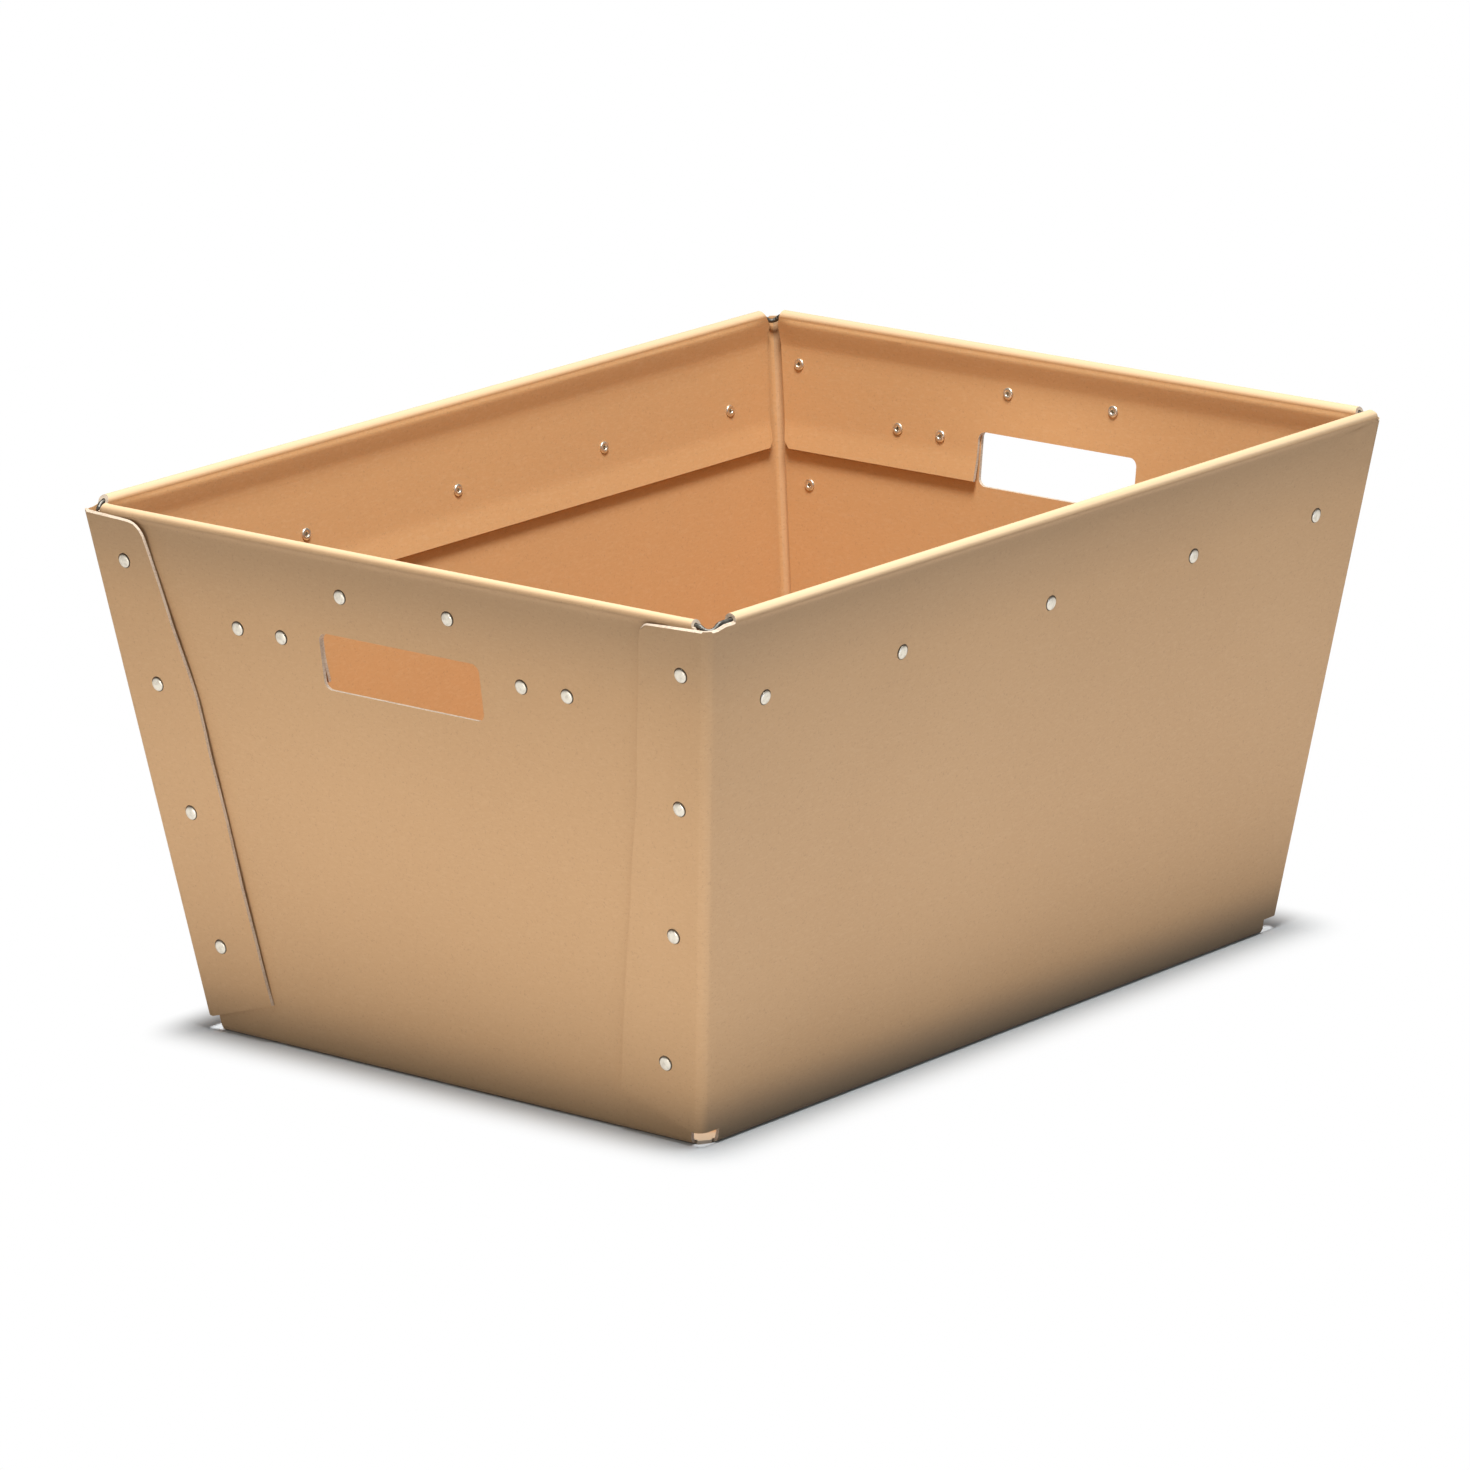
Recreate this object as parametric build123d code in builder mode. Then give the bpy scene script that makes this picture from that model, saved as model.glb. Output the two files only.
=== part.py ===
from build123d import *
import os
from math import asin, atan2, cos, hypot, sin, tan

# Transport basket folded from one sheet of solid fibreboard round a rim wire.
# Origin: middle of the base, on the surface that the basket stands on.
# X runs along the basket, Y across it, Z is up. Sizes are in millimetres.

# Outside of the four walls, at the rim and where they meet the base
height = 305.0
top_length = 592.0
top_width = 450.0
base_length = 508.0
base_width = 358.0

# The sheet, its folds and the play left between two layers of it
board = 2.0
base_fold_radius = 4.5
corner_bend_radius = 6.0
layer_gap = 0.2

# Rim wire and the roll of board that wraps it
wire_diameter = 3.3
wire_sides = 8
wire_clearance = 0.1
wire_dip = 7.0
wire_dip_start = 7.0
wire_dip_bend = 8.0
wire_corner_bend = 3.0

# Hems: the top of each wall folded inwards over the wire and down the inside
hem_depth = 82.0
hem_pinch_depth = 20.0
hem_pinch_bend = 30.0
hem_spread_start = 67.0
hem_spread = 2.0
hem_spread_bend = 60.0
hem_corner_cut = 5.0

# Side edges of walls and hems, measured from the sharp corner of the basket
end_wall_margin = 9.0
end_hem_margin = 11.0
end_rim_margin = 14.5
side_hem_margin = 8.5
side_rim_margin = 15.0
front_left_rim_margin = 21.0
rim_notch_depth = 9.0
corner_top_drop = 5.5
corner_foot_rise = 8.5
side_fold_relief = 11.0

# Flaps of the side walls, lapped over the outside of the end walls. The front
# ones were cut otherwise than the back ones: widths at top, waist and foot.
front_flap_widths = (46.0, 46.5, 56.5)
back_flap_widths = (43.5, 56.0, 55.0)
front_flap_top_radius = 6.0
back_flap_top_radius = 13.0
flap_waist_share = 0.66
flap_waist_bend = 150.0
flap_top_slope = 1.5
flap_foot_slope = 15.0
flap_leg = 12.0

# Hand holes through both layers of each end wall
hand_hole_length = 114.5
hand_hole_height = 33.2
hand_hole_depth = 50.3
hand_hole_radius = 5.0
hem_hole_play = 0.8

# Semi-tubular rivets, their rounds drawn with few sides
rivet_head_diameter = 7.8
rivet_head_thickness = 1.1
rivet_shank_diameter = 3.2
rivet_clench_diameter = 7.2
rivet_clench_height = 1.2
rivet_bore_diameter = 2.4
rivet_bore_depth = 3.0
rivet_play = 0.1
rivet_rim_sides = 9
rivet_shank_sides = 6

# Rivet places on the flaps, from the lowest: share of the height, and inset
# from the corner of the basket
front_flap_rivet_shares = (0.15, 0.398, 0.642, 0.893)
back_flap_rivet_shares = (0.172, 0.428, 0.669, 0.898)
front_flap_rivet_insets = (26.0, 21.5, 18.5, 18.6)
back_flap_rivet_insets = (25.5, 28.5, 27.0, 24.5)

# Rivet places on the hems: depths below the rim, and distances across the wall
end_centre_rivet_depth = 27.0
end_centre_rivet_spacing = 77.0
end_outer_rivet_depth = 58.5
end_outer_rivet_places = (86.0, 118.0)
side_rivet_depth = 53.0
side_rivet_places = (0.0, 128.5, 243.0)

# Values worked out from the sizes above
end_lean = atan2((top_length - base_length) / 2, height)
side_lean = atan2((top_width - base_width) / 2, height)
roll_radius = wire_diameter / 2 + wire_clearance + board
lap = board + layer_gap
beyond = 4 * base_fold_radius


def end_face_at(level):
    """X of the outer face of the right-hand end wall at a height."""
    return base_length / 2 + level * tan(end_lean)


def side_face_at(level):
    """Y of the outer face of the back side wall at a height."""
    return base_width / 2 + level * tan(side_lean)


def wall_point(half_base, lean, up, inward):
    """Point of a wall's section: a way up its outer face, then a way inwards."""
    across = half_base + up * sin(lean) - inward * cos(lean)
    return (across, up * cos(lean) + inward * sin(lean))


def roll_axis_up(lean):
    """Way up a wall's outer face to the axis of its rolled rim."""
    return (height - roll_radius * (1 + sin(lean))) / cos(lean)


def wall_strip(plane, half_base, lean, half_width):
    """Base and two opposite walls as one strip, folded up at the base."""
    middle = board / 2
    fold_up = middle * (1 - sin(lean)) / cos(lean)
    with BuildPart() as strip:
        with BuildSketch(plane):
            with BuildLine():
                FilletPolyline(
                    (0, middle),
                    wall_point(half_base, lean, fold_up, middle),
                    wall_point(half_base, lean, roll_axis_up(lean), middle),
                    radius=base_fold_radius - middle,
                )
            trace(line_width=board)
            mirror(about=Plane.YZ)
        extrude(amount=half_width, both=True)
    return strip.part


def hem_strip(plane, half_base, lean, half_width):
    """Rolled rims and hems of two opposite walls."""
    rim_up = height / cos(lean)
    axis_up = roll_axis_up(lean)
    middle = board / 2
    middle_radius = roll_radius - middle
    pressed = board + layer_gap + middle
    pinch_up = rim_up - hem_pinch_depth
    rise, step = axis_up - pinch_up, roll_radius - pressed
    slant = atan2(step, rise) + asin(middle_radius / hypot(rise, step))
    leave = (axis_up - middle_radius * sin(slant), roll_radius + middle_radius * cos(slant))
    with BuildPart() as strip:
        with BuildSketch(plane):
            with BuildLine():
                ThreePointArc(
                    wall_point(half_base, lean, axis_up, middle),
                    wall_point(half_base, lean, axis_up + middle_radius, roll_radius),
                    wall_point(half_base, lean, *leave),
                )
                FilletPolyline(
                    wall_point(half_base, lean, *leave),
                    wall_point(half_base, lean, pinch_up, pressed),
                    wall_point(half_base, lean, rim_up - hem_spread_start, pressed),
                    wall_point(half_base, lean, rim_up - hem_depth, pressed + hem_spread),
                    radius=[hem_pinch_bend, hem_spread_bend],
                )
            trace(line_width=board)
            mirror(about=Plane.YZ)
        extrude(amount=half_width, both=True)
    return strip.part


# End walls: a strip along the basket, cut to the outline of the end walls
notch_level = height - rim_notch_depth
hand_hole_top = height - hand_hole_depth
end_strip = wall_strip(Plane.XZ, base_length / 2, end_lean, top_width / 2)
with BuildPart() as end_walls:
    add(end_strip)
    with BuildSketch(Plane.YZ):
        with BuildLine():
            Polyline(
                (0, -beyond),
                (side_face_at(-beyond) - end_wall_margin, -beyond),
                (side_face_at(notch_level) - end_wall_margin, notch_level),
                (side_face_at(height) - end_rim_margin, height),
                (side_face_at(height) - end_rim_margin, height + beyond),
                (0, height + beyond),
                close=True,
            )
        make_face()
        mirror(about=Plane.YZ)
    extrude(amount=top_length, both=True, mode=Mode.INTERSECT)
    with BuildSketch(Plane.YZ):
        with Locations((0, hand_hole_top - hand_hole_height / 2)):
            RectangleRounded(hand_hole_length, hand_hole_height, hand_hole_radius)
    extrude(amount=top_length, both=True, mode=Mode.SUBTRACT)

# End hems: the hand hole runs out through their lower edge
hem_low = height - hem_depth * cos(end_lean)
hem_edge = side_face_at(hem_low) - end_hem_margin
hem_hole_top = hand_hole_top - hem_hole_play
hem_hole_drop = hem_hole_top - hem_low + beyond
end_hem_strip = hem_strip(Plane.XZ, base_length / 2, end_lean, top_width / 2)
with BuildPart() as end_hems:
    add(end_hem_strip)
    with BuildSketch(Plane.YZ):
        with BuildLine():
            Polyline(
                (0, hem_low - beyond),
                (hem_edge - hem_corner_cut - beyond, hem_low - beyond),
                (hem_edge - hem_corner_cut, hem_low),
                (hem_edge, hem_low + hem_corner_cut),
                (side_face_at(notch_level) - end_hem_margin, notch_level),
                (side_face_at(height) - end_rim_margin, height),
                (side_face_at(height) - end_rim_margin, height + beyond),
                (0, height + beyond),
                close=True,
            )
        make_face()
        mirror(about=Plane.YZ)
    extrude(amount=top_length, both=True, mode=Mode.INTERSECT)
    with BuildSketch(Plane.YZ):
        with Locations((0, hem_hole_top - hem_hole_drop / 2)):
            RectangleRounded(
                hand_hole_length + 2 * hem_hole_play, hem_hole_drop, hand_hole_radius
            )
    extrude(amount=top_length, both=True, mode=Mode.SUBTRACT)

# Side walls: a strip across the basket, cut to the outline of the side walls
corner_top = height - corner_top_drop
side_strip = wall_strip(Plane.YZ, base_width / 2, side_lean, top_length / 2 + beyond)
with BuildPart() as side_walls:
    add(side_strip)
    with BuildSketch(Plane.XZ):
        with BuildLine():
            Polyline(
                (0, -beyond),
                (end_face_at(0) - side_fold_relief, -beyond),
                (end_face_at(0) - side_fold_relief, corner_foot_rise),
                (end_face_at(corner_foot_rise) - corner_bend_radius, corner_foot_rise),
                (end_face_at(corner_top) - corner_bend_radius, corner_top),
                (end_face_at(height) - side_rim_margin, height - roll_radius),
                (end_face_at(height) - side_rim_margin, height + beyond),
                (0, height + beyond),
                close=True,
            )
        make_face()
        mirror(about=Plane.YZ)
    extrude(amount=top_width, both=True, mode=Mode.INTERSECT)

# Side hems: the front roll stops further from the left corner than the others
side_hem_low = height - hem_depth * cos(side_lean)
side_hem_edge = end_face_at(side_hem_low) - side_hem_margin
rim_end = end_face_at(height) - side_rim_margin
side_hem_strip = hem_strip(Plane.YZ, base_width / 2, side_lean, top_length / 2 + beyond)
with BuildPart() as side_hems:
    add(side_hem_strip)
    with BuildSketch(Plane.XZ):
        with BuildLine():
            Polyline(
                (0, side_hem_low - beyond),
                (side_hem_edge - hem_corner_cut - beyond, side_hem_low - beyond),
                (side_hem_edge - hem_corner_cut, side_hem_low),
                (side_hem_edge, side_hem_low + hem_corner_cut),
                (end_face_at(notch_level) - side_hem_margin, notch_level),
                (rim_end, height),
                (rim_end, height + beyond),
                (0, height + beyond),
                close=True,
            )
        make_face()
        mirror(about=Plane.YZ)
    extrude(amount=top_width, both=True, mode=Mode.INTERSECT)
    with BuildSketch(Plane.XZ):
        with BuildLine():
            Polyline(
                (-end_face_at(notch_level) - beyond, notch_level),
                (-end_face_at(notch_level) + side_hem_margin, notch_level),
                (-end_face_at(height) + front_left_rim_margin, height - roll_radius),
                (-end_face_at(height) + front_left_rim_margin, height + beyond),
                (-end_face_at(notch_level) - beyond, height + beyond),
                close=True,
            )
        make_face()
    extrude(amount=top_width, mode=Mode.SUBTRACT)

# Corner flap: the side wall turns the corner and laps the outside of the end wall
end_normal = Vector(cos(end_lean), 0, -sin(end_lean))
side_normal = Vector(0, cos(side_lean), -sin(side_lean))
edge_up = Vector(tan(end_lean), tan(side_lean), 1).normalized()
along_flap = edge_up.cross(end_normal) * -1
along_side = edge_up.cross(side_normal)
corner_foot = Vector(end_face_at(0) + lap / cos(end_lean), side_face_at(0), 0)
section_plane = Plane(origin=corner_foot - edge_up * beyond, x_dir=along_flap, z_dir=edge_up)
side_turn = atan2(along_side.dot(section_plane.y_dir), along_side.dot(along_flap))
middle_reach = board / 2 / sin(abs(side_turn) / 2)
middle_corner = (middle_reach * cos(side_turn / 2), middle_reach * sin(side_turn / 2))
flap_top = corner_top - flap_top_slope
flap_waist = height * flap_waist_share
flap_foot = corner_foot_rise + flap_foot_slope


def corner_flap(widths, top_radius):
    """Flap of the back side wall at the right end, with its bend at the corner."""
    head_width, waist_width, foot_width = widths
    with BuildPart() as flap:
        with BuildSketch(section_plane):
            with BuildLine():
                FilletPolyline(
                    (max(widths), middle_corner[1]),
                    middle_corner,
                    (
                        middle_corner[0] + flap_leg * cos(side_turn),
                        middle_corner[1] + flap_leg * sin(side_turn),
                    ),
                    radius=corner_bend_radius - board / 2,
                )
            trace(line_width=board)
        extrude(amount=height / edge_up.Z + 2 * beyond)
        with BuildSketch(Plane.YZ) as outline:
            with BuildLine():
                Polyline(
                    (side_face_at(corner_foot_rise) + beyond, corner_foot_rise),
                    (side_face_at(corner_foot_rise) - corner_bend_radius, corner_foot_rise),
                    (side_face_at(flap_foot) - foot_width, flap_foot),
                    (side_face_at(flap_waist) - waist_width, flap_waist),
                    (side_face_at(flap_top) - head_width, flap_top),
                    (side_face_at(corner_top) - corner_bend_radius, corner_top),
                    (side_face_at(corner_top) + beyond, corner_top),
                    close=True,
                )
            make_face()
            top_corner = outline.vertices().sort_by(Axis.Y)[-3:].sort_by(Axis.X)[0]
            fillet(top_corner, top_radius)
            waist_corner = outline.vertices().sort_by(Axis.Y)[3]
            fillet(waist_corner, flap_waist_bend)
        extrude(amount=top_length, both=True, mode=Mode.INTERSECT)
    return flap.part


def end_place(x_side, across, level, lift=0.0):
    """Place on or over an end wall's outer face, Z pointing straight out of it."""
    outward = Vector(x_side * cos(end_lean), 0, -sin(end_lean))
    seat = Vector(x_side * end_face_at(level), across, level)
    return Plane(origin=seat + outward * lift, z_dir=outward).location


def side_place(y_side, across, level):
    """Place on a side wall's outer face, Z pointing straight out of it."""
    outward = Vector(0, y_side * cos(side_lean), -sin(side_lean))
    return Plane(origin=(across, y_side * side_face_at(level), level), z_dir=outward).location


def flap_places(x_side, y_side):
    """Places of the rivets on a corner flap, from the lowest."""
    shares = back_flap_rivet_shares if y_side > 0 else front_flap_rivet_shares
    insets = back_flap_rivet_insets if y_side > 0 else front_flap_rivet_insets
    places = []
    for share, inset in zip(shares, insets):
        level = height * share
        places.append(end_place(x_side, y_side * (side_face_at(level) - inset), level, lap))
    return places


def end_hem_places(x_side):
    """Places of the rivets that hold one end hem."""
    centre = end_centre_rivet_spacing / 2
    centre_level = height - end_centre_rivet_depth
    outer_level = height - end_outer_rivet_depth
    places = [end_place(x_side, y, centre_level) for y in (-centre, centre)]
    for y in end_outer_rivet_places:
        places.append(end_place(x_side, -y, outer_level))
        places.append(end_place(x_side, y, outer_level))
    return places


def side_hem_places(y_side):
    """Places of the rivets that hold one side hem."""
    across = sorted({x_side * x for x_side in (-1, 1) for x in side_rivet_places})
    return [side_place(y_side, x, height - side_rivet_depth) for x in across]


def rivet(grip):
    """Rivet with its head over a seat at Z = 0 and its clench a grip below."""
    with BuildPart() as one:
        with BuildSketch():
            RegularPolygon(rivet_head_diameter / 2, rivet_rim_sides)
        extrude(amount=rivet_head_thickness)
        with BuildSketch():
            RegularPolygon(rivet_shank_diameter / 2, rivet_shank_sides)
        extrude(amount=-grip)
        with BuildSketch(Plane.XY.offset(-grip)):
            RegularPolygon(rivet_clench_diameter / 2, rivet_rim_sides)
        extrude(amount=-rivet_clench_height)
        with BuildSketch(Plane.XY.offset(-grip - rivet_clench_height)):
            RegularPolygon(rivet_bore_diameter / 2, rivet_shank_sides)
        extrude(amount=rivet_bore_depth, mode=Mode.SUBTRACT)
    return one.part


corners = {
    "front_left": (-1, -1),
    "back_left": (-1, 1),
    "front_right": (1, -1),
    "back_right": (1, 1),
}
two_layers = 2 * board + layer_gap
three_layers = two_layers + board + layer_gap
rivet_groups = {
    "left_end_hem_rivets": (two_layers, end_hem_places(-1)),
    "right_end_hem_rivets": (two_layers, end_hem_places(1)),
    "front_side_hem_rivets": (two_layers, side_hem_places(-1)),
    "back_side_hem_rivets": (two_layers, side_hem_places(1)),
    "corner_rim_rivets": (
        three_layers,
        [flap_places(*corner)[-1] for corner in corners.values()],
    ),
}
for name, corner in corners.items():
    rivet_groups[f"{name}_flap_rivets"] = (two_layers, flap_places(*corner)[:-1])

# The whole sheet, with the holes that its rivets pass through
back_flap = corner_flap(back_flap_widths, back_flap_top_radius)
front_flap = corner_flap(front_flap_widths, front_flap_top_radius).mirror(Plane.XZ)
with BuildPart() as fibreboard_body:
    add(end_walls.part)
    add(side_walls.part)
    add(back_flap)
    add(back_flap.mirror(Plane.YZ))
    add(front_flap)
    add(front_flap.mirror(Plane.YZ))
    with BuildSketch() as base_corners:
        with BuildLine():
            Polyline(
                (0, 0),
                (end_face_at(0) - base_fold_radius, 0),
                (end_face_at(0) - base_fold_radius, side_face_at(0) - end_wall_margin),
                (end_face_at(0) - side_fold_relief, side_face_at(0) - base_fold_radius),
                (0, side_face_at(0) - base_fold_radius),
                close=True,
            )
        make_face()
        mirror(about=Plane.YZ)
        mirror(about=Plane.XZ)
    extrude(amount=board)
    add(end_hems.part)
    add(side_hems.part)
    for grip, places in rivet_groups.values():
        with BuildSketch(*places):
            RegularPolygon(rivet_shank_diameter / 2 + rivet_play, rivet_shank_sides)
        extrude(amount=-grip - board, mode=Mode.SUBTRACT)
fibreboard_body.part.label = "fibreboard_body"

# Rim wire: level along the walls, dipping under the cut edge at each corner
wire_level = height - roll_radius
wire_x, _ = wall_point(base_length / 2, end_lean, roll_axis_up(end_lean), roll_radius)
wire_y, _ = wall_point(base_width / 2, side_lean, roll_axis_up(side_lean), roll_radius)
dipped_x = wire_x - wire_dip * tan(end_lean)
dipped_y = wire_y - wire_dip * tan(side_lean)
wire_turns = []
for x_side, y_side in ((-1, -1), (1, -1), (1, 1), (-1, 1)):
    turn = [
        (x_side * (wire_x - wire_dip_start), y_side * wire_y, wire_level),
        (x_side * dipped_x, y_side * dipped_y, wire_level - wire_dip),
        (x_side * wire_x, y_side * (wire_y - wire_dip_start), wire_level),
    ]
    wire_turns += turn if x_side * y_side < 0 else turn[::-1]
with BuildPart() as rim_wire:
    with BuildLine() as wire_path:
        FilletPolyline(
            *wire_turns,
            radius=4 * [wire_dip_bend, wire_corner_bend, wire_dip_bend],
            close=True,
        )
    with BuildSketch(wire_path.line ^ 0):
        RegularPolygon(wire_diameter / 2, wire_sides)
    sweep()
rim_wire.part.label = "rim_wire"

os.makedirs("parts", exist_ok=True)
export_step(fibreboard_body.part, "parts/fibreboard_body.step")
export_step(rim_wire.part, "parts/rim_wire.step")
for name, (grip, places) in rivet_groups.items():
    fastener = rivet(grip)
    with BuildPart() as rivets:
        with Locations(*places):
            add(fastener)
    rivets.part.label = name
    export_step(rivets.part, f"parts/{name}.step")
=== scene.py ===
import math

import bmesh
import bpy
import numpy as np
from mathutils import Matrix, Vector


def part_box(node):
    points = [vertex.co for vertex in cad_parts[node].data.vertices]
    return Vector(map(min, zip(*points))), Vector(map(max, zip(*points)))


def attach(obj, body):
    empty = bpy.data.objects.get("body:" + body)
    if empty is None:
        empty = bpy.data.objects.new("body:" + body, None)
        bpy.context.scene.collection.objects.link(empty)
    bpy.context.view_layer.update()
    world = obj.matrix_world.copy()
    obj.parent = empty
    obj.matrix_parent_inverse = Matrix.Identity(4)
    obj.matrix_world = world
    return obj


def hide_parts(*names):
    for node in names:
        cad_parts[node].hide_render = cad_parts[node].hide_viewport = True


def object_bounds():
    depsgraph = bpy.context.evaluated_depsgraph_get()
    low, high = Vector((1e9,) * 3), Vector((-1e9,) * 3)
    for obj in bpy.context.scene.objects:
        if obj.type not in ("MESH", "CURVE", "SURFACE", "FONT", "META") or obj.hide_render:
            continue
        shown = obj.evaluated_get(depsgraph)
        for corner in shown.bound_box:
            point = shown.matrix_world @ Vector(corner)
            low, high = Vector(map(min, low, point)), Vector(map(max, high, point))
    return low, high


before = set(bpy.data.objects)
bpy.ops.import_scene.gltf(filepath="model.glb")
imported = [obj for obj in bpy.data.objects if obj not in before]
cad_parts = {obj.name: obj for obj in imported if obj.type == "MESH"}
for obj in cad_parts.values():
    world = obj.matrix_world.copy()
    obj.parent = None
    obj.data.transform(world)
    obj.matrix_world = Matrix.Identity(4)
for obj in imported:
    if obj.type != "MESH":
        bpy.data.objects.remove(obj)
cadLow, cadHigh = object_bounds()
scene = bpy.context.scene
print("frame loaded:", [round(v, 4) for v in (cadHigh - cadLow)])


# node graphs for shaders and for geometry, with maths written as expressions

class Wire:
    def __init__(self, graph, socket):
        self.graph = graph
        self.socket = socket

    def math(self, operation, *others):
        return self.graph.node("ShaderNodeMath", {"operation": operation}, [self, *others])

    def __add__(self, other):
        return self.math("ADD", other)

    def __radd__(self, other):
        return self.math("ADD", other)

    def __sub__(self, other):
        return self.math("SUBTRACT", other)

    def __rsub__(self, other):
        return self.graph.node("ShaderNodeMath", {"operation": "SUBTRACT"}, [other, self])

    def __mul__(self, other):
        return self.math("MULTIPLY", other)

    def __rmul__(self, other):
        return self.math("MULTIPLY", other)

    def __truediv__(self, other):
        return self.math("DIVIDE", other)

    def __neg__(self):
        return self.math("MULTIPLY", -1.0)

    def __abs__(self):
        return self.math("ABSOLUTE")

    def rising(self, low, high):
        settings = {"interpolation_type": "SMOOTHSTEP"}
        values = {"Value": self, "From Min": low, "From Max": high}
        return self.graph.node("ShaderNodeMapRange", settings, values)


class Graph:
    def __init__(self, tree):
        self.tree = tree
        self.tree.nodes.clear()

    def put(self, target, value):
        if isinstance(value, Wire):
            self.tree.links.new(value.socket, target)
        else:
            target.default_value = value

    def node(self, kind, settings=None, values=(), output=0):
        made = self.tree.nodes.new(kind)
        for key, value in (settings or {}).items():
            setattr(made, key, value)
        pairs = values.items() if isinstance(values, dict) else enumerate(values)
        for key, value in pairs:
            if value is not None:
                self.put(made.inputs[key], value)
        return Wire(self, made.outputs[output]) if len(made.outputs) else None

    def outputs(self, wire):
        return [Wire(self, socket) for socket in wire.socket.node.outputs]

    def rays(self, *kinds):
        # masks that are 1 for rays of the named kinds
        found = self.outputs(self.node("ShaderNodeLightPath"))
        names = [wire.socket.name for wire in found]
        return [found[names.index(kind)] for kind in kinds]


class Finish(Graph):
    def __init__(self, name):
        self.material = bpy.data.materials.new(name)
        self.material.use_nodes = True
        super().__init__(self.material.node_tree)

    def position(self):
        return self.node("ShaderNodeTexCoord", output="Object")

    def split(self, vector):
        return self.outputs(self.node("ShaderNodeSeparateXYZ", values=[vector]))

    def scaled(self, vector, factors):
        return self.node("ShaderNodeVectorMath", {"operation": "MULTIPLY"}, [vector, factors])

    def noise(self, vector, scale, detail, roughness):
        values = {"Vector": vector, "Scale": scale, "Detail": detail, "Roughness": roughness}
        return self.node("ShaderNodeTexNoise", values=values)

    def mixed(self, factor, first, second):
        # a mix node keeps its colours in inputs 6 and 7 and in output 2
        made = self.tree.nodes.new("ShaderNodeMix")
        made.data_type = "RGBA"
        self.put(made.inputs[0], factor)
        self.put(made.inputs[6], first)
        self.put(made.inputs[7], second)
        return Wire(self, made.outputs[2])

    def bump(self, height, strength, distance):
        values = {"Height": height, "Strength": strength, "Distance": distance}
        return self.node("ShaderNodeBump", values=values)

    def finish(self, **values):
        values = {key.replace("_", " "): value for key, value in values.items()}
        shader = self.node("ShaderNodeBsdfPrincipled", values=values)
        self.node("ShaderNodeOutputMaterial", values=[shader])
        return self.material


class Maker(Graph):
    def __init__(self, name, sizes):
        self.group = bpy.data.node_groups.new(name, "GeometryNodeTree")
        super().__init__(self.group)
        face = self.group.interface
        face.new_socket("Geometry", in_out="OUTPUT", socket_type="NodeSocketGeometry")
        face.new_socket("Geometry", in_out="INPUT", socket_type="NodeSocketGeometry")
        self.keys = {}
        for key, value in sizes.items():
            kind = "NodeSocketInt" if isinstance(value, int) else "NodeSocketFloat"
            kind = "NodeSocketMaterial" if isinstance(value, bpy.types.Material) else kind
            self.keys[key] = face.new_socket(key, in_out="INPUT", socket_type=kind).identifier
        entry = self.tree.nodes.new("NodeGroupInput")
        self.sizes = {key: Wire(self, entry.outputs[key]) for key in sizes}
        self.source = Wire(self, entry.outputs[0])
        self.values = sizes

    def point(self, x=0.0, y=0.0, z=0.0):
        return self.node("ShaderNodeCombineXYZ", values=[x, y, z])

    def chosen(self, number, points):
        made = self.tree.nodes.new("GeometryNodeIndexSwitch")
        made.data_type = "VECTOR"
        while len(made.index_switch_items) < len(points):
            made.index_switch_items.new()
        self.put(made.inputs[0], number)
        for place, point in enumerate(points):
            self.put(made.inputs[place + 1], point)
        return Wire(self, made.outputs[0])

    def applied(self, result, name, mesh):
        solid = self.node("GeometryNodeRealizeInstances", values=[result])
        solid = self.node("GeometryNodeSetMaterial", values={
            0: solid, "Material": self.sizes["material"],
        })
        self.node("NodeGroupOutput", values=[solid])
        rough = newPiece(name + "Rough", mesh)
        layer = rough.modifiers.new("maker", "NODES")
        layer.node_group = self.group
        for key, value in self.values.items():
            layer[self.keys[key]] = value
        piece = newPiece(name, plainData(rough, name))
        rough.modifiers.remove(layer)
        bpy.data.objects.remove(rough)
        return piece


# meshes and colours

meshLimits = {
    "weld": 1e-6,
    "onPlane": 1e-7,
}


def plainData(thing, name):
    context = bpy.context.evaluated_depsgraph_get()
    data = bpy.data.meshes.new_from_object(thing.evaluated_get(context))
    data.name = name
    return data


def plainMesh(node):
    mesh = bmesh.new()
    mesh.from_mesh(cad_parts[node].data)
    bmesh.ops.remove_doubles(mesh, verts=mesh.verts, dist=meshLimits["weld"])
    return mesh


def newPiece(name, data):
    piece = bpy.data.objects.new(name, data)
    scene.collection.objects.link(piece)
    return piece


def printMesh(name, mesh):
    openEdges = sum(len(rim.link_faces) != 2 for rim in mesh.edges)
    volume = round(mesh.calc_volume() * 1e9, 1)
    print(name, len(mesh.faces), "faces, open", openEdges, "volume", volume)


def tone(red, green, blue):
    # sRGB levels as a linear colour
    def linear(level):
        level = level / 255
        return level / 12.92 if level <= 0.04045 else ((level + 0.055) / 1.055) ** 2.4
    return (linear(red), linear(green), linear(blue), 1.0)


white = (1.0, 1.0, 1.0, 1.0)


# walls of the basket, read from the frame

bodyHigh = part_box("fibreboard_body")[1]
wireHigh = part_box("rim_wire")[1]

wallRead = {
    "leastFacing": 0.9,
    "mostAslant": 0.05,
    "slopeDigits": 3,
    "footDigits": 4,
}


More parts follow.
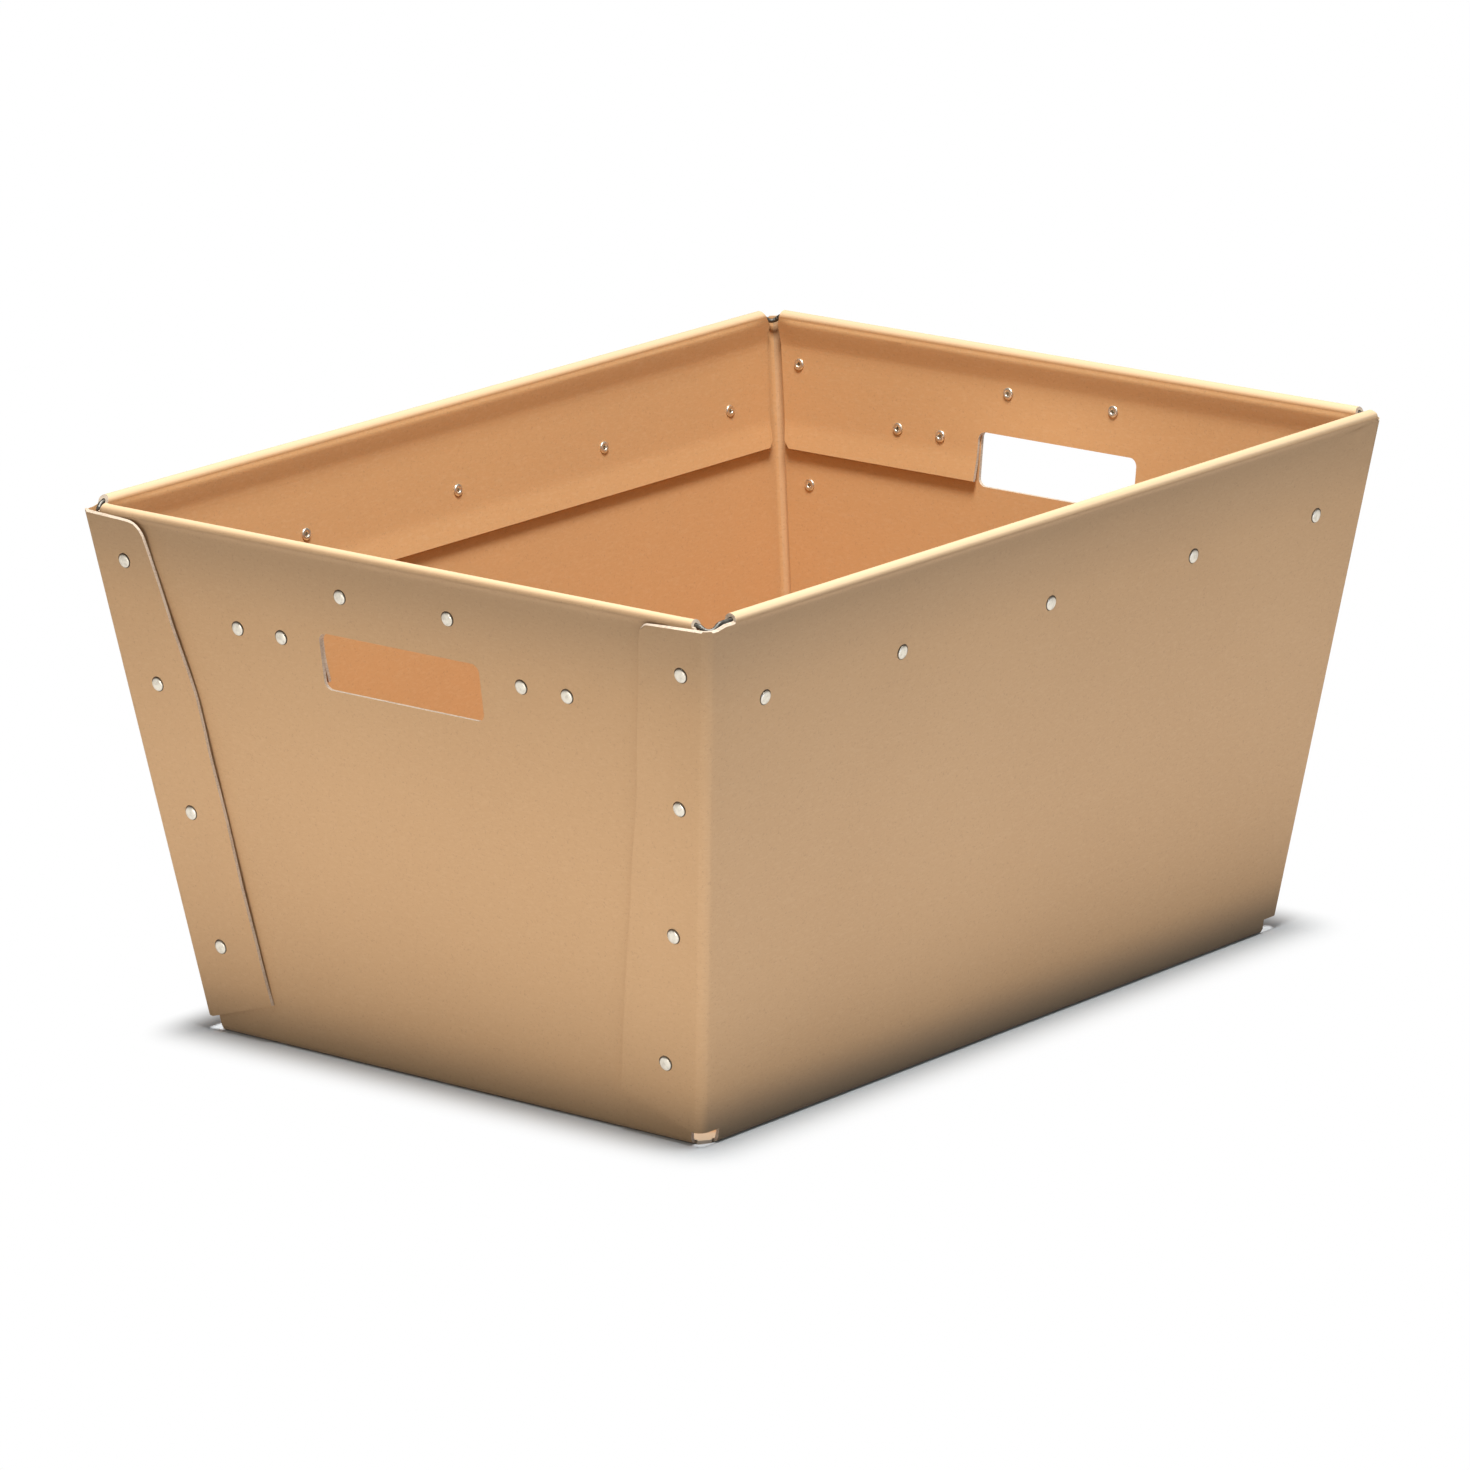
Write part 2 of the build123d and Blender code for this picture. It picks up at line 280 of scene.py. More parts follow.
def wallPlane(axis):
    # outer face of the walls on one axis: foot, and slope outwards with height
    found = {}
    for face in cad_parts["fibreboard_body"].data.polygons:
        facing, aslant = face.normal[axis], abs(face.normal[1 - axis])
        if facing < wallRead["leastFacing"] or aslant > wallRead["mostAslant"]:
            continue
        slope = -face.normal.z / facing
        foot = face.center[axis] - slope * face.center.z
        key = (round(slope, wallRead["slopeDigits"]), round(foot, wallRead["footDigits"]))
        sums = found.setdefault(key, [0.0, 0.0, 0.0])
        for place, value in enumerate((1.0, slope, foot)):
            sums[place] += face.area * value
    largest = max(sums[0] for sums in found.values())
    faces = [sums for sums in found.values() if sums[0] > largest / 2 and sums[1] > 0]
    area, slopeSum, footSum = max(faces, key=lambda sums: sums[2] / sums[0])
    return footSum / area, slopeSum / area


endFoot, endSlope = wallPlane(0)
sideFoot, sideSlope = wallPlane(1)
endLean, sideLean = math.atan(endSlope), math.atan(sideSlope)
wallSizes = (endFoot, endSlope, sideFoot, sideSlope)
print("walls read:", [round(value, 4) for value in wallSizes])


def wallDepths(across, along, up):
    # how far points lie inside the outer faces of the end and side walls
    end = (endFoot + endSlope * up - abs(across)) * math.cos(endLean)
    side = (sideFoot + sideSlope * up - abs(along)) * math.cos(sideLean)
    return end, side


# finish of the board: each noise has a scale, a detail and a roughness

boardLook = {
    "kraft": tone(205, 163, 118),
    "kraftDeep": tone(192, 149, 105),
    "kraftPale": tone(214, 175, 133),
    # a more orange kraft on the inside faces: painted bounce light between the walls
    "kraftInner": tone(206, 158, 106),
    "innerDepth": 0.0012,
    "innerBlend": 0.00015,
    "cloudNoise": (5.0, 3.0, 0.5),
    "cloudRange": (0.3, 0.7),
    "cloudShare": 0.22,
    "fibreStretch": (260.0, 260.0, 900.0),
    "fibreNoise": (1.0, 3.0, 0.6),
    "fibreRange": (0.45, 0.7),
    "fibreShare": 0.3,
    "fleckDark": tone(150, 112, 76),
    "fleckNoise": (700.0, 2.0, 0.7),
    "fleckRange": (0.56, 0.74),
    "fleckShare": 0.26,
    "frayed": tone(208, 190, 162),
    "frayCorner": (0.024, 0.036),
    "frayHeight": (0.006, 0.009),
    # painted shade: a cool dark grey laid towards the foot and just under the rim, outside
    "grime": tone(84, 90, 84),
    "grimeHeight": (-0.004, 0.036),
    "grimeShare": 0.6,
    "endGrime": 0.45,
    "sideBlend": 0.004,
    "handledDepth": (0.005, 0.060),
    "handledShare": 0.2,
    # paler top of the rim: wear, and a painted highlight
    "rimCream": tone(232, 203, 163),
    "rimDepth": 0.0042,
    "rimFull": 0.35,
    "rimShare": 0.85,
    "fibreRelief": 0.5,
    "fleckRelief": 0.5,
    "reliefStrength": 0.2,
    "reliefDepth": 0.0002,
    "roughness": 0.78,
    "roughnessSpread": 0.1,
}


def kraftBoard():
    look = boardLook
    graph = Finish("kraftBoard")
    place = graph.position()
    across, along, up = graph.split(place)
    clouds = graph.noise(place, *look["cloudNoise"])
    fibres = graph.noise(graph.scaled(place, look["fibreStretch"]), *look["fibreNoise"])
    flecks = graph.noise(place, *look["fleckNoise"])
    endDepth, sideDepth = wallDepths(across, along, up)
    depth = endDepth.math("MINIMUM", sideDepth).math("MINIMUM", up)
    onSide = (endDepth - sideDepth).rising(-look["sideBlend"], look["sideBlend"])
    innerStart = look["innerDepth"] - look["innerBlend"]
    innerEnd = look["innerDepth"] + look["innerBlend"]
    # the inside faces take a more orange kraft: painted bounce light
    insideFaces = depth.rising(innerStart, innerEnd)
    base = graph.mixed(insideFaces, look["kraft"], look["kraftInner"])
    clouded = clouds.rising(*look["cloudRange"]) * look["cloudShare"]
    base = graph.mixed(clouded, base, look["kraftDeep"])
    fibred = fibres.rising(*look["fibreRange"]) * look["fibreShare"]
    base = graph.mixed(fibred, base, look["kraftPale"])
    flecked = flecks.rising(*look["fleckRange"]) * look["fleckShare"]
    base = graph.mixed(flecked, base, look["fleckDark"])

    # pale fibres inside, where the cut corners of the base end
    frayed = 1.0 - (endDepth + sideDepth).rising(*look["frayCorner"])
    frayed = frayed * (1.0 - up.rising(*look["frayHeight"]))
    base = graph.mixed(frayed * insideFaces, base, look["frayed"])

    # painted shade outside: darker towards the foot, more on the sides, and darker just under the
    # rim
    grime = (1.0 - up.rising(*look["grimeHeight"])) * look["grimeShare"]
    grime = grime * (look["endGrime"] + onSide * (1.0 - look["endGrime"]))
    underRimShade = 1.0 - (cadHigh.z - up).rising(*look["handledDepth"])
    grime = grime + underRimShade * look["handledShare"]
    base = graph.mixed(grime * (1.0 - insideFaces), base, look["grime"])

    # paler cream on the top of the rim: a worn, stretched liner, with a painted highlight where
    # the top faces the light
    rimStart = cadHigh.z - look["rimDepth"]
    rimEnd = cadHigh.z - look["rimFull"] * look["rimDepth"]
    wornAndLit = up.rising(rimStart, rimEnd)
    base = graph.mixed(wornAndLit * look["rimShare"], base, look["rimCream"])

    height = fibres * look["fibreRelief"] + flecks * look["fleckRelief"]
    relief = graph.bump(height, look["reliefStrength"], look["reliefDepth"])
    rough = look["roughness"] + (fibres - 0.5) * look["roughnessSpread"]
    return graph.finish(Base_Color=base, Roughness=rough, Normal=relief)


# cut edges of the board, and a dark board colour in the rivet recesses, which is painted shade

edgeLook = {
    "cutEdge": (tone(216, 198, 176), tone(180, 160, 138)),
    # dark board in the recesses round the heads: painted shade
    "crushedBoard": (tone(132, 108, 84), tone(92, 76, 60)),
    "plyStretch": (500.0, 500.0, 1400.0),
    "plyNoise": (1.0, 3.0, 0.6),
    "plyShare": 0.6,
    "patchNoise": (60.0, 2.0, 0.6),
    "patchShare": 0.4,
    "mottleRange": (0.45, 0.62),
    "mottleShare": 0.7,
    "reliefStrength": 0.4,
    "reliefDepth": 0.0003,
    "roughness": 0.88,
    "roughnessSpread": 0.1,
}


def cutBoard(name):
    look = edgeLook
    pale, deep = look[name]
    graph = Finish(name)
    place = graph.position()
    plies = graph.noise(graph.scaled(place, look["plyStretch"]), *look["plyNoise"])
    patches = graph.noise(place, *look["patchNoise"])
    mottle = plies * look["plyShare"] + patches * look["patchShare"]
    mottle = mottle.rising(*look["mottleRange"])
    base = graph.mixed(mottle * look["mottleShare"], pale, deep)
    rough = look["roughness"] + (plies - 0.5) * look["roughnessSpread"]
    relief = graph.bump(plies, look["reliefStrength"], look["reliefDepth"])
    return graph.finish(Base_Color=base, Roughness=rough, Normal=relief)


# zinc on the rivets and on the wire

metalLook = {
    "platedRivetSteel": {
        "bright": tone(236, 228, 212),
        "dull": tone(170, 158, 140),
        "dullShare": 0.4,
        "roughness": 0.3,
    },
    # dull, aged zinc for the wire, darkened further as painted shade for the pockets at the
    # corners
    "galvanisedWire": {
        "bright": tone(126, 123, 116),
        "dull": tone(62, 58, 52),
        "dullShare": 0.7,
        "roughness": 0.45,
    },
    "spangleNoise": (420.0, 3.0, 0.6),
    "spangleRange": (0.4, 0.7),
    "filmNoise": (160.0, 2.0, 0.5),
    "filmRoughness": 0.2,
    "reliefStrength": 0.15,
    "reliefDepth": 0.0001,
}


def zincSteel(name):
    look = metalLook
    steel = look[name]
    graph = Finish(name)
    place = graph.position()
    spangle = graph.noise(place, *look["spangleNoise"])
    film = graph.noise(place, *look["filmNoise"])
    dulled = spangle.rising(*look["spangleRange"]) * steel["dullShare"]
    base = graph.mixed(dulled, steel["bright"], steel["dull"])
    rough = steel["roughness"] + film * look["filmRoughness"]
    relief = graph.bump(spangle, look["reliefStrength"], look["reliefDepth"])
    return graph.finish(Base_Color=base, Metallic=1.0, Roughness=rough, Normal=relief)


boardFinish = kraftBoard()
edgeFinish = cutBoard("cutEdge")
recessShadeFinish = cutBoard("crushedBoard")
rivetMetal = zincSteel("platedRivetSteel")
wireMetal = zincSteel("galvanisedWire")
print("finishes made")


# rivets: where each one sits, read from the largest flat face of its solid

seatRead = {
    "sameFacing": 0.9995,
    "sameLevel": 5e-5,
    "orderDigits": 4,
}


def joinedCorners(waiting):
    # takes one corner, and all that edges join to it, out of the waiting ones
    island = set()
    queue = [waiting.pop()]
    while queue:
        corner = queue.pop()
        island.add(corner)
        for rim in corner.link_edges:
            other = rim.other_vert(corner)
            if other in waiting:
                waiting.remove(other)
                queue.append(other)
    return island


def largestFlat(island):
    # middle and direction of the largest flat face
    flats = []
    faces = {face for corner in island for face in corner.link_faces}
    for face in sorted(faces, key=lambda face: face.index):
        area, middle, normal = face.calc_area(), face.calc_center_median(), face.normal
        level = normal.dot(middle)
        for flat in flats:
            facing = flat[2].dot(normal) > seatRead["sameFacing"]
            if facing and abs(flat[3] - level) < seatRead["sameLevel"]:
                flat[0] += area
                flat[1] += middle * area
                break
        else:
            flats.append([area, middle * area, normal.copy(), level])
    area, total, outward, level = max(flats, key=lambda flat: flat[0])
    return total / area, outward


def rivetSeats(node):
    mesh = plainMesh(node)
    mesh.faces.index_update()
    waiting = set(mesh.verts)
    seats = []
    while waiting:
        island = joinedCorners(waiting)
        top, outward = largestFlat(island)
        length = max((top - corner.co).dot(outward) for corner in island)
        seats.append((top, outward, length))
    mesh.free()
    digits = seatRead["orderDigits"]
    return sorted(seats, key=lambda seat: tuple(round(part, digits) for part in seat[0]))


rivetNodes = [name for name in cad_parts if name.endswith("_rivets")]
rivets = {name: rivetSeats(name) for name in rivetNodes}
allSeats = [seat for name in rivetNodes for seat in rivets[name]]
for name in rivetNodes:
    print(name, len(rivets[name]), round(rivets[name][0][2] * 1000, 2))


# hand shaping: small departures from the flat, shared by sheet, rivets and wire

handLook = {
    "beadDepth": 0.0010,
    "beadStart": 0.0040,
    "beadFull": 0.0068,
    "beadHold": 1.2,
    "beadFade": 0.0290,
    "beadEndCorner": (0.009, 0.024),
    "beadSideCorner": (0.014, 0.034),
    "panelBow": 0.0006,
    "rollDepth": 0.0077,
    "rollMargin": 0.0108,
    "rollPullReach": 0.05,
    "rollPull": 0.009,
    "nearRimDrop": 0.0016,
    "rimDropReach": 0.085,
    "rimDropCorner": (0.006, 0.018),
    "flapFace": 0.0001,
    "flapLift": 0.0018,
    "flapHeldShare": 0.6,
    "flapFreeShare": 0.4,
    "flapEdge": (0.022, 0.050),
    "flapFoot": (0.020, 0.050),
    "rivetGrip": 0.022,
    "boxMargin": 0.0003,
}


def eased(values, low, high):
    share = np.clip((values - low) / (high - low), 0.0, 1.0)
    return share * share * (3.0 - 2.0 * share)


def flapRivetLevels(xSide, ySide):
    tops = [seat[0] for name in rivetNodes if "hem" not in name for seat in rivets[name]]
    return [top.z for top in tops if top.x * xSide > 0 and top.y * ySide > 0]


def flapLift(x, y, z, fromSide, onFlap):
    # the free edges stand off, least beside a rivet and at the foot
    look = handLook
    lift = np.zeros_like(z)
    for xSide in (-1, 1):
        for ySide in (-1, 1):
            levels = flapRivetLevels(xSide, ySide)
            nearest = np.min([np.abs(z - level) for level in levels], axis=0)
            free = eased(nearest, 0.0, 2 * look["rivetGrip"])
            share = look["flapHeldShare"] + look["flapFreeShare"] * free
            share = share * eased(fromSide, *look["flapEdge"]) * look["flapLift"]
            share = share * eased(z, *look["flapFoot"])
            lift = np.where(onFlap & (x * xSide > 0) & (y * ySide > 0), share, lift)
    return lift


def handShaped(points):
    look = handLook
    x, y, z = points.T.copy()
    endReach = endFoot + endSlope * z
    sideReach = sideFoot + sideSlope * z
    endDepth, sideDepth = wallDepths(x, y, z)
    onFlap = endDepth < -look["flapFace"]
    onEnd = (endDepth < sideDepth) & ~onFlap
    onSide = ~onEnd & ~onFlap
    below = cadHigh.z - z
    fromSide = sideReach - np.abs(y)
    fromEnd = endReach - np.abs(x)

    # a shallow bead beneath the rolled rim, ending before the corners
    bead = eased(below, look["beadStart"], look["beadFull"])
    bead = bead * (1.0 - eased(below, look["beadFull"] * look["beadHold"], look["beadFade"]))
    bead = bead * look["beadDepth"]
    endInward = np.where(onEnd, bead * eased(fromSide, *look["beadEndCorner"]), 0.0)
    sideInward = np.where(onSide, bead * eased(fromEnd, *look["beadSideCorner"]), 0.0)

    # panels bowed outwards, most in the middle
    bowAlongEnd = np.cos(y / sideReach * math.pi / 2) ** 2
    bowAlongSide = np.cos(x / endReach * math.pi / 2) ** 2
    bowUp = np.sin(np.clip(z / cadHigh.z, 0, 1) * math.pi) ** 2
    endInward -= np.where(onEnd, look["panelBow"] * bowAlongEnd * bowUp, 0.0)
    sideInward -= np.where(onSide, look["panelBow"] * bowAlongSide * bowUp, 0.0)

    # the front roll runs on towards the far end
    onRoll = onSide & (y < 0) & (below < look["rollDepth"]) & (fromEnd > look["rollMargin"])
    pullStart = cadHigh.x - look["rollPullReach"]
    pull = eased(x, pullStart, cadHigh.x - look["rollMargin"])
    x = x + np.where(onRoll, pull * look["rollPull"], 0.0)

    # the near end's rim sags
    drop = eased(z, cadHigh.z - look["rimDropReach"], cadHigh.z) * look["nearRimDrop"]
    drop = np.where(onEnd & (x < 0), drop * eased(fromSide, *look["rimDropCorner"]), 0.0)

    reach = np.abs(x) - endInward + flapLift(x, y, z, fromSide, onFlap)
    widest = np.maximum(np.abs(x), cadHigh.x - look["boxMargin"])
    reach = np.where(onFlap, np.minimum(reach, widest), reach)
    x = np.sign(x) * reach
    y = np.sign(y) * (np.abs(y) - sideInward)
    return np.stack([x, y, z - drop], axis=1)


def shapeByHand(data):
    points = np.empty(len(data.vertices) * 3)
    data.vertices.foreach_get("co", points)
    points = handShaped(points.reshape(-1, 3))
    data.vertices.foreach_set("co", points.ravel())
    data.update()


# the folded sheet

sheetLook = {
    "boardThickness": 0.002,
    "layerGap": 0.0002,
    "sharpAngle": math.radians(38),
    "cutEdgeWidth": 0.0026,
    "recessDepth": 0.0007,
    "recessRadius": 0.0044,
    "recessFoot": 0.0040,
    "recessShift": 0.0007,
    "recessSides": 28,
    "markMargin": 0.0009,
    "markStart": 0.0001,
    "markReach": 1.2,
    "cutSlant": 0.0009,
    "cutFacing": 0.5,
    "lipDepth": 0.0004,
    "lipLevel": 0.29,
    "baseLevel": 0.0021,
    "baseFold": 0.0040,
    "baseCorner": 0.0175,
    "cornerPush": 0.003,
    "rimCuts": (0.00375, 0.0046, 0.0056, 0.0068, 0.0082, 0.0100, 0.0130, 0.0170, 0.0220, 0.0290),
    "levelStep": 0.012,
    "flapRange": (0.118, 0.221),
    "flapStep": 0.007,
    "panelRange": 0.11,
    "panelStep": 0.036,
}

sheetFinishes = (boardFinish, edgeFinish, recessShadeFinish)
boardPart, edgePart, recessShadePart = range(3)


def regionsOf(mesh, angle):
    mesh.faces.ensure_lookup_table()
    seen = set()
    for start in mesh.faces:
        if start.index in seen:
            continue
        seen.add(start.index)
        region = []
        waiting = [start]
        while waiting:
            face = waiting.pop()
            region.append(face)
            for rim in face.edges:
                if len(rim.link_faces) != 2 or rim.calc_face_angle(0) > angle:
                    continue
                for other in rim.link_faces:
                    if other.index not in seen:
                        seen.add(other.index)
                        waiting.append(other)
        yield region


def markCutEdges(mesh):
    mesh.faces.index_update()
    for region in regionsOf(mesh, sheetLook["sharpAngle"]):
        area = sum(face.calc_area() for face in region)
        inside = {face.index for face in region}
        outline = 0.0
        for face in region:
            for rim in face.edges:
                if any(other.index not in inside for other in rim.link_faces):
                    outline += rim.calc_length()
        narrow = 2 * area / outline < sheetLook["cutEdgeWidth"]
        for face in region:
            face.material_index = edgePart if narrow else boardPart


def seatTurn(place, outward):
    return Matrix.Translation(place) @ outward.to_track_quat("Z", "Y").to_matrix().to_4x4()


def recessCutter(headThickness):
    # the press sinks each head into the board, a little off its middle
    look = sheetLook
    depth = look["recessDepth"]
    slope = (look["recessRadius"] - look["recessFoot"]) / depth
    mesh = bmesh.new()
    for top, outward, _ in allSeats:
        aside = Vector((-abs(outward.y), -abs(outward.x), 1.0)).normalized()
        seat = top - outward * headThickness + look["recessShift"] * aside
        bmesh.ops.create_cone(
            mesh, cap_ends=True, segments=look["recessSides"],
            radius1=look["recessFoot"], radius2=look["recessRadius"] + slope * depth,
            depth=2 * depth, matrix=seatTurn(seat, outward),
        )
    data = bpy.data.meshes.new("recesses")
    mesh.to_mesh(data)
    mesh.free()
    return data


def carved(data, cutter):
    sheet = newPiece("sheetRough", data)
    tool = newPiece("recessTool", cutter)
    layer = sheet.modifiers.new("recesses", "BOOLEAN")
    layer.operation = "DIFFERENCE"
    layer.solver = "EXACT"
    layer.object = tool
    result = plainData(sheet, "foldedSheet")
    sheet.modifiers.remove(layer)
    bpy.data.objects.remove(sheet)
    bpy.data.objects.remove(tool)
    return result


def sliced(mesh, axis, place):
    normal = [0.0, 0.0, 0.0]
    normal[axis] = 1.0
    spot = [part * place for part in normal]
    everything = mesh.verts[:] + mesh.edges[:] + mesh.faces[:]
    bmesh.ops.bisect_plane(
        mesh, geom=everything, dist=meshLimits["onPlane"], plane_co=spot, plane_no=normal,
    )


def slicedBothSides(mesh, axis, start, end, step):
    for place in np.arange(start, end, step):
        sliced(mesh, axis, place)
        sliced(mesh, axis, -place)


def sliceSheet(mesh):
    # rows of points for the hand shaping to move
    look = sheetLook
    step = look["levelStep"]
    levels = list(np.arange(step, cadHigh.z - look["rimCuts"][-1], step))
    levels += [cadHigh.z - depth for depth in look["rimCuts"]]
    for level in levels:
        sliced(mesh, 2, level)
    step = look["panelStep"]
    slicedBothSides(mesh, 1, *look["flapRange"], look["flapStep"])
    slicedBothSides(mesh, 0, step / 2, bodyHigh.x, step)
    slicedBothSides(mesh, 1, step / 2, look["panelRange"], step)


def slantCuts(mesh):
    # shears leave the outer lip of each upward cut lower than the inner one
    look = sheetLook
    lips = set()
    for face in mesh.faces:
        if face.material_index != edgePart or face.normal.z < look["cutFacing"]:
            continue
        for corner in face.verts:
            endDepth, sideDepth = wallDepths(*corner.co)
            flapDepth = endDepth + look["boardThickness"] + look["layerGap"]
            outer = min(flapDepth, sideDepth) < look["lipDepth"]
            if outer and corner.co.z > look["lipLevel"]:
                lips.add(corner)
    for corner in lips:
        corner.co.z -= look["cutSlant"]


def fillBaseCorners(mesh):
    # the cut corners of the base are pressed out to meet the folds
    look = sheetLook
    push = look["cornerPush"] / math.sqrt(2)
    for corner in mesh.verts:
        x, y, z = corner.co
        insideEnd, insideSide = endFoot - abs(x), sideFoot - abs(y)
        onBase = z < look["baseLevel"] and min(insideEnd, insideSide) > look["baseFold"]
        if onBase and insideEnd + insideSide < look["baseCorner"]:
            corner.co.x += math.copysign(push, x)
            corner.co.y += math.copysign(push, y)


def markRecesses(mesh):
    # painted shade: faces that lie in a recess round a head take the dark recess board
    look = sheetLook
    headHeight = rivetForm["headHeight"]
    places = np.array([top - outward * headHeight for top, outward, _ in allSeats])
    outwards = np.array([outward for _, outward, _ in allSeats])
    radius = look["recessRadius"] + look["markMargin"]
    for face in mesh.faces:
        away = np.array(face.calc_center_median()) - places
        height = (away * outwards).sum(axis=1)
        across = np.sqrt(np.maximum((away * away).sum(axis=1) - height * height, 0.0))
        deep = height > -look["markReach"] * look["recessDepth"]
        if ((across < radius) & (height < -look["markStart"]) & deep).any():
            face.material_index = recessShadePart


def makeSheet():
    mesh = plainMesh("fibreboard_body")
    markCutEdges(mesh)
    data = bpy.data.meshes.new("sheetRough")
    mesh.to_mesh(data)
    mesh.free()
    for finish in sheetFinishes:
        data.materials.append(finish)
    data = carved(data, recessCutter(rivetForm["headHeight"]))
    mesh = bmesh.new()
    mesh.from_mesh(data)
    markRecesses(mesh)
    slantCuts(mesh)
    fillBaseCorners(mesh)
    sliceSheet(mesh)
    bmesh.ops.triangulate(mesh, faces=mesh.faces)
    mesh.to_mesh(data)
    mesh.free()
    shapeByHand(data)
    mesh = bmesh.new()
    mesh.from_mesh(data)
    for face in mesh.faces:
        face.smooth = True
    for rim in mesh.edges:
        gentle = rim.calc_face_angle(0) < sheetLook["sharpAngle"]
        rim.smooth = len(rim.link_faces) == 2 and gentle
    printMesh("foldedSheet", mesh)
    mesh.to_mesh(data)
    mesh.free()
    piece = newPiece("foldedSheet", data)
    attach(piece, "root")
    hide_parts("fibreboard_body")


# rivets: a turned profile on every seat
# the curves give shares of the radius and of the height, as the profile runs

rivetForm = {
    "headRadius": 0.0039,
    "headHeight": 0.0011,
    "shankRadius": 0.0016,
    "clenchRadius": 0.0036,
    "clenchHeight": 0.0012,
    "boreRadius": 0.0012,
    "boreDepth": 0.0028,
    "tilt": 0.03,
    "sides": 28,
}

rivetLook = {
    "domeSteps": 7,
    "domeFoot": 0.24,
    "domeRise": 0.76,
    "domePower": 0.8,
    "headCurve": ((1.0, 0.2), (0.985, 0.02)),
    "clenchCurve": ((0.96, 0.0), (1.0, 0.3), (0.95, 0.68), (0.82, 0.93), (0.66, 1.0), (0.5, 0.94)),
    "boreCurve": ((1.14, 0.72), (1.0, 0.35)),
    "sink": 0.0005,
    "sharpAngle": math.radians(50),
}


def rivetProfile(tree):
    look = rivetLook
    size = tree.sizes
    head, high = size["headRadius"], size["headHeight"]
    clench, low = size["clenchRadius"], size["clenchHeight"]
    shank, bore, grip = size["shankRadius"], size["boreRadius"], size["grip"]
    rows = [(head * 0.0, high)]
    for step in range(1, look["domeSteps"]):
        turn = step / look["domeSteps"] * math.pi / 2
        dome = look["domeFoot"] + look["domeRise"] * math.cos(turn) ** look["domePower"]
        rows.append((head * math.sin(turn), high * dome))
    rows += [(head * wide, high * tall) for wide, tall in look["headCurve"]]
    rows += [(shank, high * 0.0), (shank, -grip)]
    rows += [(clench * wide, -grip - low * deep) for wide, deep in look["clenchCurve"]]
    rows += [(bore * wide, -grip - low * deep) for wide, deep in look["boreCurve"]]
    floor = -grip - low + size["boreDepth"]
    return rows + [(bore, floor), (bore * 0.0, floor)]


def rivetMaker(seats):
    length = seats[0][2]
    grip = length - rivetForm["headHeight"] - rivetForm["clenchHeight"] - rivetLook["sink"]
    sizes = dict(rivetForm, grip=grip, seed=len(seats), material=rivetMetal)
    tree = Maker("turnedRivets", sizes)
    rows = rivetProfile(tree)
    sides = tree.sizes["sides"]
    grid = tree.node("GeometryNodeMeshGrid", values={
        "Size X": 1.0, "Size Y": 1.0, "Vertices X": len(rows), "Vertices Y": sides + 1,
    })
    number = tree.node("GeometryNodeInputIndex")
    row = ((number + 0.5) / (sides + 1)).math("FLOOR")
    turn = (number - row * (sides + 1)) / sides * (2 * math.pi)
    spot = tree.chosen(row, [tree.point(x=across, z=up) for across, up in rows])
    across, _, up = tree.outputs(tree.node("ShaderNodeSeparateXYZ", values=[spot]))
    place = tree.point(across * turn.math("COSINE"), across * turn.math("SINE"), up)
    shell = tree.node("GeometryNodeSetPosition", values={0: grid, "Position": place})
    shell = tree.node("GeometryNodeMergeByDistance", values={
        0: shell, "Distance": meshLimits["weld"],
    })
    shell = tree.node("GeometryNodeSetShadeSmooth", values={0: shell})
    sway = tree.node("FunctionNodeRandomValue", {"data_type": "FLOAT_VECTOR"}, {
        0: -1.0 * tree.sizes["tilt"], 1: tree.sizes["tilt"], "Seed": tree.sizes["seed"],
    })
    attribute = {"data_type": "FLOAT_VECTOR"}
    outward = tree.node("GeometryNodeInputNamedAttribute", attribute, {"Name": "outward"})
    leaning = tree.node("ShaderNodeVectorMath", {"operation": "ADD"}, [outward, sway])
    turned = tree.node("FunctionNodeAlignRotationToVector", {"axis": "Z"}, {"Vector": leaning})
    placed = tree.node("GeometryNodeInstanceOnPoints", values={
        "Points": tree.source, "Instance": shell, "Rotation": turned,
    })
    return tree, placed


def makeRivets(name):
    seats = rivets[name]
    depth = rivetForm["headHeight"] + rivetLook["sink"]
    points = np.array([top - outward * depth for top, outward, _ in seats])
    base = bpy.data.meshes.new(name + "Seats")
    base.from_pydata(handShaped(points).tolist(), [], [])
    facing = base.attributes.new("outward", "FLOAT_VECTOR", "POINT")
    facing.data.foreach_set("vector", [part for seat in seats for part in seat[1]])
    first, *others = name.split("_")
    tree, placed = rivetMaker(seats)
    piece = tree.applied(placed, first + "".join(word.capitalize() for word in others), base)
    mesh = bmesh.new()
    mesh.from_mesh(piece.data)
    bmesh.ops.recalc_face_normals(mesh, faces=mesh.faces)
    for rim in mesh.edges:
        rim.smooth = rim.calc_face_angle(0) < rivetLook["sharpAngle"]
    printMesh(piece.name, mesh)
    mesh.to_mesh(piece.data)
    mesh.free()
    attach(piece, "root")
    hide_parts(name)


# rim wire: a closed path round the rim, dipping at the corners

wireForm = {
    "wireRadius": 0.0013,
    "dip": 0.0068,
    "dipStart": 0.007,
    "bend": 0.005,
    "bendSteps": 5,
    "pathCuts": 3,
    "sides": 14,
}

cadWireRadius = 0.00165


